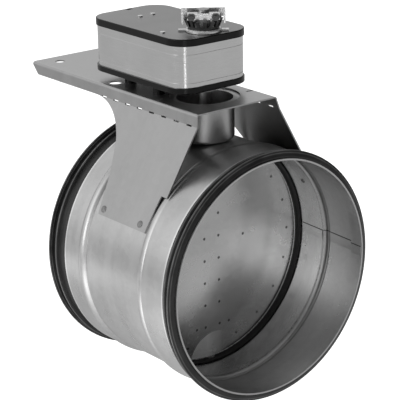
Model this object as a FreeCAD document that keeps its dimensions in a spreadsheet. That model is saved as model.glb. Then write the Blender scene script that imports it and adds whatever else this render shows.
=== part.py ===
import FreeCAD, Part
import math
import os
from types import SimpleNamespace

import Sketcher

# Motorised shut-off damper for a round 250 mm duct. Millimetres.
# X runs across the duct, Y along it away from the open front, Z up.
# The origin is the point where the blade's shaft crosses the duct's axis.

doc = FreeCAD.newDocument("damper")
sheet = doc.addObject("Spreadsheet::Sheet", "Sizes")
aliases = []
pieces = []


class Size:
    """A number kept together with the sheet formula that gives it."""

    def __init__(self, value, text):
        self.value = value
        self.text = text

    def __add__(self, other):
        other = as_size(other)
        return Size(self.value + other.value, f"({self.text} + {other.text})")

    def __radd__(self, other):
        return as_size(other) + self

    def __sub__(self, other):
        other = as_size(other)
        return Size(self.value - other.value, f"({self.text} - {other.text})")

    def __rsub__(self, other):
        return as_size(other) - self

    def __mul__(self, other):
        other = as_size(other)
        return Size(self.value * other.value, f"({self.text} * {other.text})")

    def __rmul__(self, other):
        return as_size(other) * self

    def __truediv__(self, other):
        other = as_size(other)
        return Size(self.value / other.value, f"({self.text} / {other.text})")

    def __neg__(self):
        return Size(-self.value, f"(-1 * {self.text})")


def as_size(number):
    if isinstance(number, Size):
        return number
    return Size(float(number), f"({float(number)!r})")


def root(size):
    return Size(math.sqrt(size.value), f"sqrt({size.text})")


def sine(angle):
    angle = as_size(angle)
    return Size(math.sin(math.radians(angle.value)), f"sin({angle.text})")


def cosine(angle):
    angle = as_size(angle)
    return Size(math.cos(math.radians(angle.value)), f"cos({angle.text})")


def driving(alias, value):
    """Writes one driving dimension in the sheet."""
    aliases.append(alias)
    row = len(aliases)
    sheet.set(f"A{row}", alias)
    sheet.set(f"B{row}", str(value))
    sheet.setAlias(f"B{row}", alias)
    return Size(float(value), f"Sizes.{alias}")


# Driving dimensions in millimetres, degrees and counts
SIZES = {
    # Duct
    "sheet_metal": 1.0,
    "mid_radius": 121.4,
    "spigot_step": 2.8,
    "seat_step": 4.2,
    "duct_half": 104.0,
    "front_seat": 86.8,
    "rear_seat": 77.0,
    "step_length": 1.6,
    "bead_place": 48.0,
    "bead_half": 4.8,
    "bead_swell": 1.5,
    "rim_length": 1.6,
    "rim_height": 0.7,
    # Rubber seals at the ends
    "seal_foot": 2.8,
    "seal_end": 102.0,
    "inner_lip_height": 3.4,
    "outer_lip_height": 5.5,
    "lip_thickness": 1.4,
    "lip_root": 2.0,
    "lip_lean": 0.8,
    "outer_lip_place": 2.9,
    "inner_lip_place": 11.3,
    # Blade
    "core_thickness": 5.0,
    "disc_thickness": 1.0,
    "blade_gap": 3.6,
    "seal_clearance": 0.35,
    "lip_reach": 10.0,
    "ring_inset": 8.8,
    "ring_width": 9.0,
    "rail_width": 6.2,
    "spot_left": 6.5,
    "spot_right": 12.0,
    "spot_row_left": 18.0,
    "spot_row_right": 24.4,
    "spot_top": 39.3,
    "spot_pitch": 24.4,
    "spot_single_x": 44.6,
    "spot_single_z": 9.1,
    "spot_inset": 12.2,
    "spot_start": 17.0,
    "spot_step": 18.0,
    "spot_radius": 1.5,
    "spot_depth": 0.5,
    # Shaft and its bushes
    "shaft_radius": 6.0,
    "shaft_over": 9.5,
    "running_gap": 0.04,
    "bush_radius": 8.0,
    "bush_flange": 11.0,
    "flange_thickness": 2.0,
    "pivot_length": 5.2,
    "bush_floor": 2.5,
    "end_play": 0.3,
    # Neck and console
    "neck_radius": 29.6,
    "neck_round": 4.0,
    "neck_flange": 41.0,
    "neck_height": 43.6,
    "console_metal": 1.5,
    "console_half": 50.7,
    "console_front": 51.5,
    "console_rear": 233.5,
    "console_bend": 3.0,
    "wing_angle": 58.4,
    "wing_wrap": 4.6,
    "right_wing_angle": 60.2,
    "wing_clearance": 0.5,
    "wing_tab_front": 41.0,
    "wing_waist": 55.0,
    "wing_waist_drop": 46.2,
    "wing_tab_rear": 35.3,
    "wing_arc": 72.0,
    "wing_arc_start": 115.0,
    "end_chamfer": 9.0,
    "window_radius": 35.5,
    "fixing_radius": 5.2,
    "fixing_spread": 29.1,
    "fixing_place": 213.4,
    "cable_radius": 6.7,
    "cable_spread": 37.2,
    "cable_place": 100.3,
    "slot_length": 8.0,
    "slot_height": 1.6,
    "slot_pitch": 20.1,
    "slot_first": 39.0,
    "neck_slot_x": 43.8,
    "neck_slot_y": 17.3,
    "rivet_radius": 2.4,
    "rivet_head": 3.6,
    "rivet_place": 30.0,
    # Actuator housing
    "housing_gap": 10.6,
    "housing_half": 44.6,
    "housing_front": 20.4,
    "housing_rear": 133.0,
    "housing_round": 21.0,
    "housing_height": 55.0,
    "housing_wall": 1.6,
    "base_thickness": 2.6,
    "cover_thickness": 2.4,
    "trim_thickness": 1.3,
    "trim_round": 0.8,
    "lower_trim": 6.0,
    "upper_trim": 7.2,
    "groove_depth": 0.4,
    "groove_width": 1.0,
    "lower_groove": 11.0,
    "upper_groove": 39.6,
    "notch_width": 7.0,
    "notch_depth": 5.0,
    "notch_place": 5.0,
    "post_radius": 6.0,
    "front_post_x": 30.0,
    "front_post_y": 36.0,
    "rear_post_x": 24.0,
    "rear_post_y": 92.0,
    "screw_radius": 2.5,
    "screw_head": 4.6,
    "screw_head_height": 2.8,
    "cover_screw_head": 2.6,
    "cover_screw_hole": 1.4,
    "cover_screw_height": 1.2,
    "cover_screw_reach": 4.0,
    "front_cover_screw_x": 34.9,
    "front_cover_screw_y": 21.0,
    "rear_cover_screw_x": 8.0,
    "rear_cover_screw_y": 94.0,
    # Output hub and clamp
    "hub_radius": 14.0,
    "hub_foot": 3.5,
    "hub_wall": 2.5,
    "collar_radius": 18.0,
    "collar_gap": 0.6,
    "collar_height": 3.0,
    "collar_chamfer": 1.2,
    "ear_reach": 25.0,
    "ear_width": 5.0,
    "ear_thickness": 1.6,
    "crown_foot": 15.6,
    "crown_top": 19.4,
    "crown_height": 9.3,
    "crown_wall": 2.4,
    "crown_floor": 2.2,
    "crown_teeth": 16,
    "crown_gap": 3.6,
    "clamp_turn": -38.0,
    "yoke_half": 21.8,
    "yoke_metal": 1.9,
    "yoke_gap": 0.5,
    "yoke_depth": 13.0,
    "yoke_height": 8.4,
    "yoke_drop": 5.0,
    "jaw_half": 16.0,
    "jaw_back": 11.0,
    "jaw_front": 3.5,
    "jaw_height": 6.4,
    "stud_radius": 2.0,
    "stud_spread": 12.0,
    "stud_tip": 16.0,
    "nut_side": 4.1,
    "nut_height": 3.2,
    # Gear train
    "sector_module": 1.0,
    "sector_teeth": 56,
    "sector_cuts": 18,
    "first_pinion_teeth": 14,
    "first_wheel_teeth": 40,
    "first_module": 0.8,
    "second_pinion_teeth": 12,
    "second_wheel_teeth": 40,
    "second_module": 0.6,
    "motor_pinion_teeth": 12,
    "tooth_play": 0.14,
    "gear_width": 4.0,
    "pinion_extra": 1.0,
    "first_hub": 4.4,
    "second_hub": 3.6,
    "motor_hub": 2.58,
    "sector_level": 8.5,
    "first_level": 15.0,
    "second_level": 21.5,
    "axle_radius": 2.0,
    "motor_axle_radius": 1.2,
    "deck_level": 28.0,
    "deck_thickness": 2.0,
    "deck_half": 36.0,
    "deck_front": 24.0,
    "deck_rear": 94.0,
    "pillar_radius": 3.0,
    "pillar_inset": 4.5,
    "motor_radius": 17.0,
    "motor_height": 18.0,
    "motor_wall": 1.2,
    "motor_chamfer": 1.5,
    "rotor_radius": 12.0,
    "rotor_gap": 1.5,
    "board_level": 4.0,
    "board_thickness": 1.6,
    "board_half": 36.0,
    "board_front": 98.0,
    "board_rear": 126.0,
    "terminal_length": 30.0,
    "terminal_height": 11.0,
    "terminal_width": 12.0,
    "terminal_inset": 14.0,
    "gland_radius": 6.0,
    "gland_flange": 9.0,
    "gland_length": 8.0,
    "gland_level": 34.0,
    "gland_bore": 3.5,
}

dim = SimpleNamespace(**{alias: driving(alias, value) for alias, value in SIZES.items()})
doc.recompute()

# Levels and places that follow from them
inner_radius = dim.mid_radius - dim.sheet_metal
spigot_radius = dim.mid_radius + dim.spigot_step
seat_radius = spigot_radius - dim.seat_step
seal_top = seat_radius + dim.seal_foot
inner_lip = seal_top + dim.inner_lip_height
outer_lip = seal_top + dim.outer_lip_height
blade_radius = inner_radius - dim.blade_gap
ring_outer = blade_radius - dim.ring_inset
ring_inner = ring_outer - dim.ring_width
spot_circle = blade_radius - dim.spot_inset
plate_top = dim.mid_radius + dim.neck_height
bead_rise = dim.spigot_step / 2
bead_chord = root(dim.bead_half * dim.bead_half + bead_rise * bead_rise)
bead_arc = dim.bead_swell * bead_chord
bead_sink = root(bead_arc * bead_arc - bead_chord * bead_chord) * dim.bead_half / bead_chord
bead_top = dim.mid_radius + bead_rise + bead_arc - bead_sink
base_low = plate_top + dim.housing_gap
base_top = base_low + dim.base_thickness
housing_top = base_low + dim.housing_height
sleeve_top = housing_top - dim.cover_thickness
crown_low = housing_top + dim.collar_gap + dim.collar_height
crown_high = crown_low + dim.crown_height
shaft_top = crown_high + dim.shaft_over
neck_floor = dim.mid_radius + dim.sheet_metal
wing_radius = dim.mid_radius + dim.console_metal
wing_over_bead = (dim.mid_radius * cosine(dim.wing_angle) + dim.wing_clearance
                  + root(bead_top * bead_top - dim.mid_radius * dim.mid_radius) * sine(dim.wing_angle))
wing_beside_bead = dim.bead_place - dim.bead_half - dim.wing_clearance
bend_outer = (wing_radius - dim.console_half * sine(dim.wing_angle)) / cosine(dim.wing_angle)
inner_half = dim.console_half - dim.console_metal
bend_inner = (dim.mid_radius - inner_half * sine(dim.wing_angle)) / cosine(dim.wing_angle)
edge_low = plate_top - dim.console_bend
right_bend = (wing_radius - bend_outer * cosine(dim.right_wing_angle)) / sine(dim.right_wing_angle)
right_flare = (right_bend - dim.console_half) / (edge_low - bend_outer)
right_bend_low = ((dim.mid_radius - (inner_half + right_flare * edge_low) * sine(dim.right_wing_angle))
                  / (cosine(dim.right_wing_angle) - right_flare * sine(dim.right_wing_angle)))
right_bend_in = inner_half + right_flare * (edge_low - right_bend_low)
first_reach = dim.sector_module * (dim.sector_teeth + dim.first_pinion_teeth) / 2
second_reach = dim.first_module * (dim.first_wheel_teeth + dim.second_pinion_teeth) / 2
motor_reach = dim.second_module * (dim.second_wheel_teeth + dim.motor_pinion_teeth) / 2
first_centre = first_reach
second_centre = first_centre + second_reach
motor_centre = second_centre + motor_reach
deck_low = base_top + dim.deck_level
deck_top = deck_low + dim.deck_thickness


def bind(thing, path, size):
    """Ties one property of an object to the sheet."""
    size = as_size(size)
    if "." not in path:
        setattr(thing, path, size.value)
    thing.setExpression(path, size.text)


def place(thing, x=0, y=0, z=0, turn=None, axis=(0, 0, 1)):
    """Puts an object at a place that follows the sheet, turned about an axis."""
    spots = [as_size(value) for value in (x, y, z)]
    rotation = FreeCAD.Rotation()
    if turn is not None:
        rotation = FreeCAD.Rotation(FreeCAD.Vector(*axis), as_size(turn).value)
    thing.Placement = FreeCAD.Placement(FreeCAD.Vector(*[s.value for s in spots]), rotation)
    for name, spot in zip("xyz", spots):
        thing.setExpression(f"Placement.Base.{name}", spot.text)
    if isinstance(turn, Size):
        thing.setExpression("Placement.Rotation.Angle", turn.text)
    return thing


def keep(thing):
    """Counts an object as one of the damper's pieces."""
    pieces.append(thing)
    return thing


def add(kind, label, **sizes):
    """Adds a primitive whose sizes follow the sheet."""
    thing = doc.addObject(kind, label)
    thing.Label = label
    for name, size in sizes.items():
        bind(thing, name, size)
    return thing


def cylinder(label, radius, height, x=0, y=0, z=0):
    return place(add("Part::Cylinder", label, Radius=radius, Height=height), x, y, z)


def box(label, x, y, z, length, width, height):
    return place(add("Part::Box", label, Length=length, Width=width, Height=height), x, y, z)


def join(kind, label, base, tool):
    thing = doc.addObject(kind, label)
    thing.Label = label
    thing.Base = base
    thing.Tool = tool
    return thing


def cut(label, base, tool):
    return join("Part::Cut", label, base, tool)


def fuse(label, base, tool):
    return join("Part::Fuse", label, base, tool)


def body(label):
    thing = doc.addObject("PartDesign::Body", label)
    thing.Label = label
    return thing


def sketch_on(thing, role, offset=None):
    """Starts a sketch on one of a body's own planes, moved along its normal."""
    sketch = thing.newObject("Sketcher::SketchObject", thing.Label + "_sketch")
    planes = [plane for plane in thing.Origin.OriginFeatures if plane.Role == role]
    sketch.AttachmentSupport = [(planes[0], "")]
    sketch.MapMode = "FlatFace"
    if offset is not None:
        sketch.AttachmentOffset = FreeCAD.Placement(
            FreeCAD.Vector(0, 0, as_size(offset).value), FreeCAD.Rotation())
        sketch.setExpression("AttachmentOffset.Base.z", as_size(offset).text)
    return sketch


def fix(sketch, geometry, point, x, y):
    """Ties a point of a sketch to a place given by sizes."""
    for kind, size in (("DistanceX", x), ("DistanceY", y)):
        number = sketch.addConstraint(Sketcher.Constraint(kind, geometry, point, size.value))
        sketch.setExpression(f"Constraints[{number}]", size.text)


def fix_radius(sketch, geometry, radius):
    number = sketch.addConstraint(Sketcher.Constraint("Radius", geometry, radius.value))
    sketch.setExpression(f"Constraints[{number}]", radius.text)


def draw(sketch, corners):
    """Draws a closed outline. A corner is (x, y), or (x, y, radius) where an arc runs on
    to the next corner: anticlockwise for a positive radius, clockwise for a negative one."""
    corners = [tuple(as_size(value) for value in corner) for corner in corners]
    ends = []
    for number, corner in enumerate(corners):
        after = corners[(number + 1) % len(corners)]
        start = FreeCAD.Vector(corner[0].value, corner[1].value, 0)
        stop = FreeCAD.Vector(after[0].value, after[1].value, 0)
        if len(corner) == 2:
            line = sketch.addGeometry(Part.LineSegment(start, stop), False)
            ends.append((line, 1, 2))
            continue
        radius = corner[2]
        anticlockwise = radius.value > 0
        chord = stop - start
        left = FreeCAD.Vector(-chord.y, chord.x, 0).normalize()
        rise = math.sqrt(max(radius.value ** 2 - (chord.Length / 2) ** 2, 0))
        centre = (start + stop) * 0.5 + left * (rise if anticlockwise else -rise)
        first, last = (start, stop) if anticlockwise else (stop, start)
        angles = [math.atan2(p.y - centre.y, p.x - centre.x) for p in (first, last)]
        circle = Part.Circle(centre, FreeCAD.Vector(0, 0, 1), abs(radius.value))
        arc = sketch.addGeometry(Part.ArcOfCircle(circle, angles[0], angles[1]), False)
        ends.append((arc, 1, 2) if anticlockwise else (arc, 2, 1))
    for number, (geometry, start_point, stop_point) in enumerate(ends):
        after, after_start, _ = ends[(number + 1) % len(ends)]
        sketch.addConstraint(
            Sketcher.Constraint("Coincident", geometry, stop_point, after, after_start))
    for corner, (geometry, start_point, _) in zip(corners, ends):
        fix(sketch, geometry, start_point, corner[0], corner[1])
        if len(corner) == 3:
            fix_radius(sketch, geometry, corner[2] if corner[2].value > 0 else -corner[2])
    return sketch


def draw_circle(sketch, x, y, radius):
    x, y, radius = as_size(x), as_size(y), as_size(radius)
    circle = Part.Circle(FreeCAD.Vector(x.value, y.value, 0), FreeCAD.Vector(0, 0, 1), radius.value)
    geometry = sketch.addGeometry(circle, False)
    fix(sketch, geometry, 3, x, y)
    fix_radius(sketch, geometry, radius)


def mirrored(half, across_x=True):
    """The mirror image of part of an outline, walked backwards, across X or across Y."""
    back = []
    for number in range(len(half) - 1, -1, -1):
        x, y = half[number][0], half[number][1]
        arc = tuple(half[number - 1][2:]) if number > 0 else ()
        back.append(((-as_size(x), y) if across_x else (x, -as_size(y))) + arc)
    return back


def rounded(half, front, rear, radius):
    """A rectangle with rounded corners: half its width, its front and rear in Y."""
    return [
        (radius - half, front), (half - radius, front, radius),
        (half, front + radius), (half, rear - radius, radius),
        (half - radius, rear), (radius - half, rear, radius),
        (-half, rear - radius), (-half, front + radius, radius),
    ]


def pad(thing, sketch, length, upwards=True):
    feature = thing.newObject("PartDesign::Pad", thing.Label + "_pad")
    feature.Profile = sketch
    bind(feature, "Length", length)
    feature.Reversed = not upwards
    thing.Tip = feature
    return feature


def pocket(thing, sketch, depth=None, downwards=True):
    """Cuts a sketch to a depth, or through everything on its side of the plane."""
    feature = thing.newObject("PartDesign::Pocket", thing.Label + "_pocket")
    feature.Profile = sketch
    if depth is None:
        feature.Type = "ThroughAll"
    else:
        bind(feature, "Length", depth)
    feature.Reversed = not downwards
    thing.Tip = feature
    return feature


def revolve(thing, sketch):
    feature = thing.newObject("PartDesign::Revolution", thing.Label + "_turn")
    feature.Profile = sketch
    feature.ReferenceAxis = (sketch, ["V_Axis"])
    feature.Angle = 360
    thing.Tip = feature
    return feature


def polar(thing, feature, sketch, count, angle=360.0):
    """Repeats a feature about the sketch's normal."""
    pattern = thing.newObject("PartDesign::PolarPattern", thing.Label + "_ring")
    pattern.Originals = [feature]
    pattern.Axis = (sketch, ["N_Axis"])
    pattern.Angle = angle
    pattern.Occurrences = int(round(count.value))
    thing.Tip = pattern
    return pattern


def round_edges(thing, radius, chosen):
    """Fillets the edges of a body's shape that a test picks out."""
    doc.recompute()
    names = [f"Edge{n + 1}" for n, edge in enumerate(thing.Shape.Edges) if chosen(edge)]
    base = thing.Tip
    feature = thing.newObject("PartDesign::Fillet", thing.Label + "_fillet")
    feature.Base = (base, names)
    bind(feature, "Radius", radius)
    thing.Tip = feature


def level(edge, z):
    box_of_edge = edge.BoundBox
    return abs(box_of_edge.ZMin - z.value) < 0.01 and abs(box_of_edge.ZMax - z.value) < 0.01


def duct_side(seat_start):
    """One half of the duct's wall: its outer line to the end, then its inner line back."""
    bead_in = dim.bead_half - dim.sheet_metal * 0.75
    bead_inner_arc = dim.bead_swell * root(bead_in * bead_in + bead_rise * bead_rise)
    outer = [
        (dim.mid_radius, dim.bead_place - dim.bead_half, bead_arc),
        (spigot_radius, dim.bead_place + dim.bead_half),
        (spigot_radius, seat_start),
        (seat_radius, seat_start + dim.step_length),
        (seat_radius, dim.duct_half - dim.rim_length),
        (seat_radius + dim.rim_height, dim.duct_half - dim.rim_length),
        (seat_radius + dim.rim_height, dim.duct_half),
        (seat_radius - dim.sheet_metal, dim.duct_half),
    ]
    inner = [
        (seat_radius - dim.sheet_metal, seat_start + dim.step_length),
        (spigot_radius - dim.sheet_metal, seat_start),
        (spigot_radius - dim.sheet_metal, dim.bead_place + bead_in, -bead_inner_arc),
        (inner_radius, dim.bead_place - bead_in),
    ]
    return outer, inner


def make_duct():
    """Tube with two pressed beads, a stepped seat at each end and holes for the shaft."""
    duct = keep(body("duct_body"))
    front_outer, front_inner = duct_side(dim.front_seat)
    rear_outer, rear_inner = duct_side(dim.rear_seat)
    sketch = sketch_on(duct, "XY_Plane")
    front = mirrored(front_outer, across_x=False)
    draw(sketch, front + rear_outer + rear_inner + mirrored(front_inner, across_x=False))
    revolve(duct, sketch)
    for upwards in (True, False):
        hole = sketch_on(duct, "XY_Plane")
        draw_circle(hole, 0, 0, dim.bush_radius)
        pocket(duct, hole, downwards=not upwards)
    for side in (-1, 1):
        for along in (-1, 1):
            rivet_hole(duct, side, along)


def rivet_angle():
    return dim.wing_angle + dim.wing_wrap * 0.35


def rivet_hole(thing, side, along):
    """A hole square to the duct's wall, where a wing of the console is riveted."""
    hole = sketch_on(thing, "XY_Plane")
    angle = rivet_angle() * side
    turn = FreeCAD.Rotation(FreeCAD.Vector(0, 1, 0), angle.value)
    hole.AttachmentOffset = FreeCAD.Placement(FreeCAD.Vector(0, 0, 0), turn)
    hole.setExpression("AttachmentOffset.Rotation.Angle", angle.text)
    draw_circle(hole, 0, dim.rivet_place * along, dim.rivet_radius)
    pocket(thing, hole, downwards=False)


def make_end_seal(label, seat_start, side):
    """Rubber ring with two lips that lean towards the middle of the duct."""
    seal = keep(body(label))
    foot, end = seat_start + dim.step_length, dim.seal_end
    half_tip = dim.lip_thickness / 2
    outer_tip, inner_tip = end - dim.outer_lip_place, end - dim.inner_lip_place
    outer_root, inner_root = outer_tip + dim.lip_lean, inner_tip + dim.lip_lean
    corners = [
        (seat_radius, foot), (seat_radius, end), (seal_top, end),
        (outer_lip, outer_tip + half_tip), (outer_lip, outer_tip - half_tip),
        (seal_top, outer_root - dim.lip_root), (seal_top, inner_root + dim.lip_root),
        (inner_lip, inner_tip + half_tip), (inner_lip, inner_tip - half_tip),
        (seal_top, inner_root - dim.lip_root), (seal_top - half_tip, foot),
    ]
    sketch = sketch_on(seal, "XY_Plane")
    draw(sketch, [(x, y * side) for x, y in corners])
    revolve(seal, sketch)


def make_neck():
    """Drawn cup between the duct and the console, with the upper bush in its floor."""
    neck = keep(body("neck_cup"))
    low, high = dim.mid_radius, plate_top - dim.console_metal
    metal = dim.sheet_metal
    corners = [
        (dim.bush_radius, low), (dim.neck_radius - dim.neck_round, low, dim.neck_round),
        (dim.neck_radius, low + dim.neck_round), (dim.neck_radius, high - metal),
        (dim.neck_flange, high - metal), (dim.neck_flange, high),
        (dim.neck_radius - metal, high),
        (dim.neck_radius - metal, low + dim.neck_round, metal - dim.neck_round),
        (dim.neck_radius - dim.neck_round, low + metal), (dim.bush_radius, low + metal),
    ]
    sketch = sketch_on(neck, "XZ_Plane")
    draw(sketch, corners)
    revolve(neck, sketch)


def wing_section(angle, bend, low_bend):
    """Outer and inner line of one wing, from the plate's edge to the tab and back."""
    tip = dim.wing_angle + dim.wing_wrap
    return [
        (dim.console_half, edge_low), (bend, bend_outer),
        (wing_radius * sine(angle), wing_radius * cosine(angle), -wing_radius),
        (wing_radius * sine(tip), wing_radius * cosine(tip)),
        (dim.mid_radius * sine(tip), dim.mid_radius * cosine(tip), dim.mid_radius),
        (dim.mid_radius * sine(angle), dim.mid_radius * cosine(angle)),
        low_bend, (inner_half, edge_low, dim.console_bend - dim.console_metal),
        (dim.console_half - dim.console_bend, plate_top - dim.console_metal),
    ]


def make_console():
    """Bent sheet: a plate with turned-down edges that run on as wings to the duct."""
    console = keep(body("console"))
    half, high = dim.console_half, plate_top
    right = wing_section(dim.right_wing_angle, right_bend, (right_bend_in, right_bend_low))
    left = mirrored(wing_section(dim.wing_angle, half, (inner_half, bend_inner)))
    section = sketch_on(console, "XZ_Plane", -dim.console_rear)
    start = [(half - dim.console_bend, high, -dim.console_bend)]
    stop = [(dim.console_bend - half, high)]
    left[-1] = left[-1][:2] + (-dim.console_bend,)
    draw(section, start + right + left + stop)
    pad(console, section, dim.console_front + dim.console_rear)
    side = sketch_on(console, "YZ_Plane", wing_radius)
    low = dim.mid_radius * cosine(dim.wing_angle + dim.wing_wrap)
    beyond = dim.console_bend * 2
    draw(side, [
        (dim.console_rear + beyond, edge_low), (dim.console_rear, edge_low),
        (dim.console_rear - dim.end_chamfer, bend_outer),
        (dim.wing_arc_start, bend_outer, dim.wing_arc), (dim.wing_waist, plate_top - dim.wing_waist_drop),
        (wing_beside_bead, wing_over_bead), (dim.wing_tab_rear, low),
        (dim.wing_tab_rear, low - beyond), (dim.console_rear + beyond, low - beyond),
    ])
    draw(side, [
        (-dim.console_front - beyond, wing_over_bead), (-wing_beside_bead, wing_over_bead),
        (-dim.wing_tab_front, low), (-dim.wing_tab_front, low - beyond),
        (-dim.console_front - beyond, low - beyond),
    ])
    pocket(console, side)
    holes = sketch_on(console, "XY_Plane", plate_top)
    draw_circle(holes, 0, 0, dim.window_radius)
    for hand in (-1, 1):
        draw_circle(holes, dim.fixing_spread * hand, dim.fixing_place, dim.fixing_radius)
        draw_circle(holes, dim.cable_spread * hand, dim.cable_place, dim.cable_radius)
        x, y = dim.neck_slot_x * hand, -dim.neck_slot_y * hand
        draw(holes, [(x - 4, y - 1.2), (x + 4, y - 1.2), (x + 4, y + 1.2), (x - 4, y + 1.2)])
    for x, y in post_spots():
        draw_circle(holes, x, y, dim.screw_radius)
    pocket(console, holes, dim.console_bend * 2)
    slots = sketch_on(console, "YZ_Plane", wing_radius)
    for number in range(8):
        y = dim.slot_pitch * number - dim.slot_first
        near, far = y - dim.slot_length / 2, y + dim.slot_length / 2
        lower, upper = bend_outer - dim.slot_height / 2, bend_outer + dim.slot_height / 2
        draw(slots, [(near, lower), (far, lower), (far, upper), (near, upper)])
    pocket(console, slots)
    for hand in (-1, 1):
        for along in (-1, 1):
            rivet_hole(console, hand, along)


def make_rivets():
    """Four blind rivets that hold the wings to the duct."""
    number = 0
    for side in (-1, 1):
        for along in (-1, 1):
            number += 1
            rivet = keep(body(f"wing_rivet_{number}"))
            low = dim.mid_radius - dim.sheet_metal * 1.6
            sketch = sketch_on(rivet, "XZ_Plane")
            draw(sketch, [
                (0, low), (dim.rivet_radius, low), (dim.rivet_radius, wing_radius),
                (dim.rivet_head, wing_radius + 0.2), (dim.rivet_head * 0.55, wing_radius + 1.1),
                (0, wing_radius + 1.3),
            ])
            revolve(rivet, sketch)
            place(rivet, y=dim.rivet_place * along, turn=rivet_angle() * side, axis=(0, 1, 0))


def make_bushes():
    """Flanged bushes: the upper one open, the lower one closed under the pivot."""
    bore = dim.shaft_radius + dim.running_gap
    inside = dim.mid_radius - dim.sheet_metal * 0.9
    upper = keep(body("upper_bush"))
    sketch = sketch_on(upper, "XZ_Plane")
    draw(sketch, [
        (bore, inside), (dim.bush_radius, inside), (dim.bush_radius, neck_floor),
        (dim.bush_flange, neck_floor), (dim.bush_flange, neck_floor + dim.flange_thickness),
        (bore, neck_floor + dim.flange_thickness),
    ])
    revolve(upper, sketch)
    lower = keep(body("lower_bush"))
    end = inside + dim.pivot_length + dim.end_play
    flange_low = dim.mid_radius + dim.flange_thickness
    sketch = sketch_on(lower, "XZ_Plane")
    draw(sketch, [
        (bore, -inside), (dim.bush_radius, -inside), (dim.bush_radius, -dim.mid_radius),
        (dim.bush_flange, -dim.mid_radius), (dim.bush_flange, -flange_low),
        (dim.bush_radius, -flange_low), (dim.bush_radius, -end - dim.bush_floor),
        (0, -end - dim.bush_floor), (0, -end), (bore, -end),
    ])
    revolve(lower, sketch)


def make_shaft():
    """Round shaft with two flats where it lies between the blade's discs."""
    shaft = keep(body("shaft"))
    low = dim.mid_radius - dim.sheet_metal * 0.9 + dim.pivot_length
    sketch = sketch_on(shaft, "XY_Plane", -low)
    draw_circle(sketch, 0, 0, dim.shaft_radius)
    pad(shaft, sketch, low + shaft_top)
    flats = sketch_on(shaft, "YZ_Plane", dim.shaft_radius + 1)
    near, far = dim.core_thickness / 2, dim.shaft_radius + 1
    half = blade_radius + 0.2
    for hand in (-1, 1):
        draw(flats, [
            (near * hand, -half), (far * hand, -half), (far * hand, half), (near * hand, half)])
    pocket(shaft, flats)


def draw_spots(sketch):
    """Weld marks: two columns beside the shaft, a row below and a ring near the edge."""
    for number in range(6):
        level_of_mark = dim.spot_top - dim.spot_pitch * number
        draw_circle(sketch, dim.spot_right, level_of_mark, dim.spot_radius)
        if number > 0:
            draw_circle(sketch, -dim.spot_left, level_of_mark, dim.spot_radius)
    draw_circle(sketch, -dim.spot_row_left, level_of_mark, dim.spot_radius)
    draw_circle(sketch, dim.spot_row_right, level_of_mark, dim.spot_radius)
    draw_circle(sketch, dim.spot_single_x, dim.spot_single_z, dim.spot_radius)
    for number in range(20):
        angle = dim.spot_start + dim.spot_step * number
        x, z = spot_circle * sine(angle), spot_circle * cosine(angle)
        draw_circle(sketch, x, z, dim.spot_radius)


def make_blade():
    """Two discs on a pair of half-round frames, with a rubber lip seal around them."""
    half = dim.core_thickness / 2
    face_level = half + dim.disc_thickness
    for label, face, front in (
            ("blade_front_disc", -half, True), ("blade_rear_disc", face_level, False)):
        disc = keep(body(label))
        sketch = sketch_on(disc, "XZ_Plane", -face)
        draw_circle(sketch, 0, 0, blade_radius)
        pad(disc, sketch, dim.disc_thickness)
        spots = sketch_on(disc, "XZ_Plane", face_level if front else -face_level)
        draw_spots(spots)
        pocket(disc, spots, dim.spot_depth, downwards=front)
    edge = dim.shaft_radius + 0.1
    far = edge + dim.rail_width
    for label, hand in (("blade_frame_left", -1), ("blade_frame_right", 1)):
        frame = keep(body(label))
        sketch = sketch_on(frame, "XZ_Plane", -half)
        reach = root(ring_outer * ring_outer - edge * edge)
        inside = root(ring_inner * ring_inner - far * far)
        draw(sketch, [(edge * hand, -reach, ring_outer * hand), (edge * hand, reach)])
        draw(sketch, [(far * hand, -inside, ring_inner * hand), (far * hand, inside)])
        pad(frame, sketch, dim.core_thickness)
    make_blade_seal()


def make_blade_seal():
    """Rubber ring held between the discs, with a lip that leans to the front."""
    seal = keep(body("blade_seal"))
    half = dim.core_thickness / 2
    face = half + dim.disc_thickness
    ball = inner_radius - dim.seal_clearance
    tip = root(ball * ball - dim.lip_reach * dim.lip_reach)
    sketch = sketch_on(seal, "XY_Plane")
    draw(sketch, [
        (ring_outer, -half), (blade_radius, -half), (blade_radius, -face),
        (blade_radius + 1.2, -face - 1), (tip - 1.1, -dim.lip_reach + 0.4), (tip, -dim.lip_reach),
        (ball - 0.05, -half * 0.5), (ball - 0.4, face), (blade_radius, face),
        (blade_radius, half), (ring_outer, half),
    ])
    revolve(seal, sketch)
    for downwards in (True, False):
        hole = sketch_on(seal, "XY_Plane")
        draw_circle(hole, 0, 0, dim.shaft_radius)
        pocket(seal, hole, downwards=downwards)


def post_spots():
    """Where the four posts of the actuator stand on the console."""
    front = (dim.front_post_x, dim.front_post_y)
    rear = (dim.rear_post_x, dim.rear_post_y)
    return [(x * hand, y) for hand in (-1, 1) for x, y in (front, rear)]


def make_posts():
    """Four posts between console and actuator, each with a screw from below."""
    high, gap, bore = plate_top, dim.housing_gap, dim.screw_radius
    under = high - dim.console_metal
    for number, (x, y) in enumerate(post_spots(), 1):
        hole = cylinder(f"post_bore_{number}", bore, gap, x, y, high)
        blank = cylinder(f"post_blank_{number}", dim.post_radius, gap, x, y, high)
        keep(cut(f"mount_post_{number}", blank, hole))
        shank = cylinder(f"shank_{number}", bore, base_top - under, x, y, under)
        head_low = under - dim.screw_head_height
        head = cylinder(
            f"head_{number}", dim.screw_head, dim.screw_head_height, x, y, head_low)
        keep(fuse(f"mount_screw_{number}", shank, head))


def housing_outline(offset):
    """The actuator's outline seen from above, grown or shrunk by an offset."""
    front, rear = -dim.housing_front - offset, dim.housing_rear + offset
    return rounded(dim.housing_half + offset, front, rear, dim.housing_round + offset)


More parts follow.
